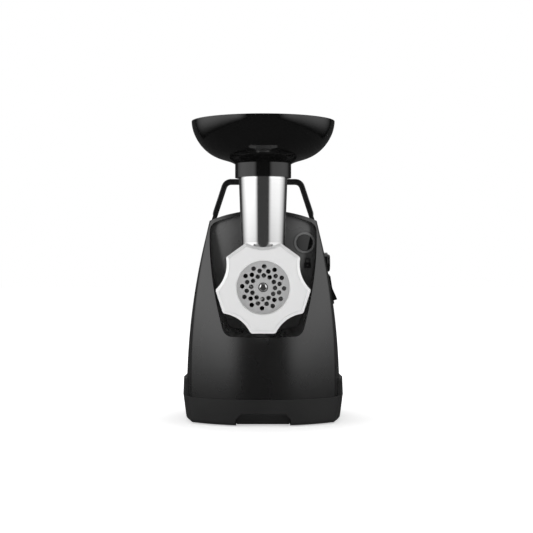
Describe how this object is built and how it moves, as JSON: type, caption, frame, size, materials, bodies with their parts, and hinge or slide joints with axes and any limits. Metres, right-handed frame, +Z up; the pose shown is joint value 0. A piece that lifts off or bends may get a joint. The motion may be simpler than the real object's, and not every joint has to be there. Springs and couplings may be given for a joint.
{
  "type": "electric meat grinder",
  "caption": "Countertop electric meat grinder with hopper tray, upright feed tube, lobed screw ring, perforated plate and a tapered motor tower with carry handle.",
  "frame": {"origin": "on the table, under the centre of the machine's box", "axes": "+Z up, the meat leaves towards -Y, +X to the right seen from the front"},
  "size_m": [0.1816, 0.264, 0.332],
  "materials": {
    "housing_black": "satin moulded",
    "gloss_black": "high gloss",
    "base_black": "fine matt texture",
    "polished_casting": "polished and finely brushed",
    "satin_aluminium": "bead blasted and machined",
    "brushed_plate": "ground face",
    "machine_steel": "turned",
    "gear_steel": "hobbed",
    "lamination": "stacked sheet",
    "copper_wire": "enamelled",
    "brass": "bright",
    "rubber_black": "matt",
    "white_nylon": "natural nylon",
    "board_green": "solder mask",
    "part_black": "moulded",
    "carbon": "pressed carbon",
    "mark_grey": "printed"
  },
  "bodies": {
    "root": {"base_shell": "base_black", "bottom_plate": "part_black", "rubber_feet": "rubber_black", "base_screws": "machine_steel", "front_shell": "housing_black", "rear_shell": "housing_black", "shell_screws": "machine_steel", "carry_handle": "housing_black", "face_plate": "gloss_black", "lock_mark": "mark_grey", "release_bezel": "gloss_black", "release_spring": "machine_steel", "latch_bracket": "part_black", "reverse_bezel": "gloss_black", "reverse_switch": "part_black", "rocker_frame": "gloss_black", "rocker_switch": "part_black", "socket_collar": "part_black", "shaft_seal": "rubber_black", "gearbox_front_plate": "machine_steel", "gearbox_rear_plate": "machine_steel", "gearbox_pillars": "machine_steel", "gear_axles": "machine_steel", "output_bushes": "brass", "stator_core": "lamination", "field_coils": "copper_wire", "motor_front_bracket": "machine_steel", "motor_rear_bracket": "machine_steel", "motor_bearings": "machine_steel", "motor_bolts": "machine_steel", "brush_holders": "brass", "carbon_brushes": "carbon", "motor_cradle": "part_black", "control_board": "board_green", "board_parts": "part_black", "cable_inlet": "rubber_black"},
    "auger_drive": {"output_shaft": "machine_steel", "output_gear": "gear_steel", "drive_coupler": "machine_steel", "auger": "polished_casting", "auger_washer": "white_nylon", "auger_coupling": "white_nylon", "cutting_knife": "machine_steel"},
    "second_gear_pair": {"second_gear": "gear_steel", "third_pinion": "gear_steel"},
    "first_gear_pair": {"first_gear": "white_nylon", "second_pinion": "gear_steel"},
    "rotor": {"motor_shaft": "machine_steel", "armature_core": "lamination", "armature_windings": "copper_wire", "commutator": "copper_wire", "cooling_fan": "white_nylon"},
    "head": {"grinder_head": "polished_casting"},
    "plate": {"grinding_plate": "brushed_plate"},
    "ring": {"screw_ring": "satin_aluminium"},
    "tray": {"hopper_tray": "gloss_black"},
    "release_button": {"release_button": "gloss_black", "latch_arm": "machine_steel"},
    "reverse_button": {"reverse_button": "gloss_black"},
    "rocker_key": {"rocker_key": "gloss_black"}
  },
  "joints": [
    {"name": "auger_spin", "type": "hinge", "parent": "root", "child": "auger_drive", "pos_m": [0, -0.02, 0.152], "axis": [0, 1, 0], "continuous": true},
    {"name": "second_gear_spin", "type": "hinge", "parent": "root", "child": "second_gear_pair", "pos_m": [-0.0301, 0.01, 0.1249], "axis": [0, 1, 0], "continuous": true},
    {"name": "first_gear_spin", "type": "hinge", "parent": "root", "child": "first_gear_pair", "pos_m": [-0.00358, 0.02, 0.09838], "axis": [0, 1, 0], "continuous": true},
    {"name": "motor_spin", "type": "hinge", "parent": "root", "child": "rotor", "pos_m": [0, 0.07, 0.06256], "axis": [0, 1, 0], "continuous": true},
    {"name": "head_lock", "type": "hinge", "parent": "root", "child": "head", "pos_m": [0, -0.02, 0.152], "axis": [0, 1, 0], "range_deg": [-30, 0]},
    {"name": "plate_slide", "type": "slide", "parent": "head", "child": "plate", "axis": [0, -1, 0], "range_m": [0, 0.0105]},
    {"name": "ring_turn", "type": "hinge", "parent": "plate", "child": "ring", "pos_m": [0, -0.094, 0.152], "axis": [0, -1, 0], "range_deg": [0, 1080]},
    {"name": "tray_lift", "type": "slide", "parent": "head", "child": "tray", "axis": [0, 0, 1], "range_m": [0, 0.08]},
    {"name": "release_press", "type": "slide", "parent": "root", "child": "release_button", "axis": [0, 1, 0], "range_m": [0, 0.0045], "stiffness_N_per_m": 600, "springref_m": -0.002, "deforming": ["release_spring"]},
    {"name": "reverse_press", "type": "slide", "parent": "root", "child": "reverse_button", "axis": [-1, 0, 0], "range_m": [0, 0.003], "stiffness_N_per_m": 500, "springref_m": -0.002},
    {"name": "rocker_tilt", "type": "hinge", "parent": "root", "child": "rocker_key", "pos_m": [0.0718, 0.02, 0.14717], "axis": [0, 1, 0], "range_deg": [0, 14]}
  ],
  "couplings": [
    {"joint": "second_gear_spin", "follows": "auger_spin", "ratio": -3.5},
    {"joint": "first_gear_spin", "follows": "auger_spin", "ratio": 14},
    {"joint": "motor_spin", "follows": "auger_spin", "ratio": -70},
    {"joint": "plate_slide", "follows": "ring_turn", "m_per_rad": 0.00055704}
  ]
}
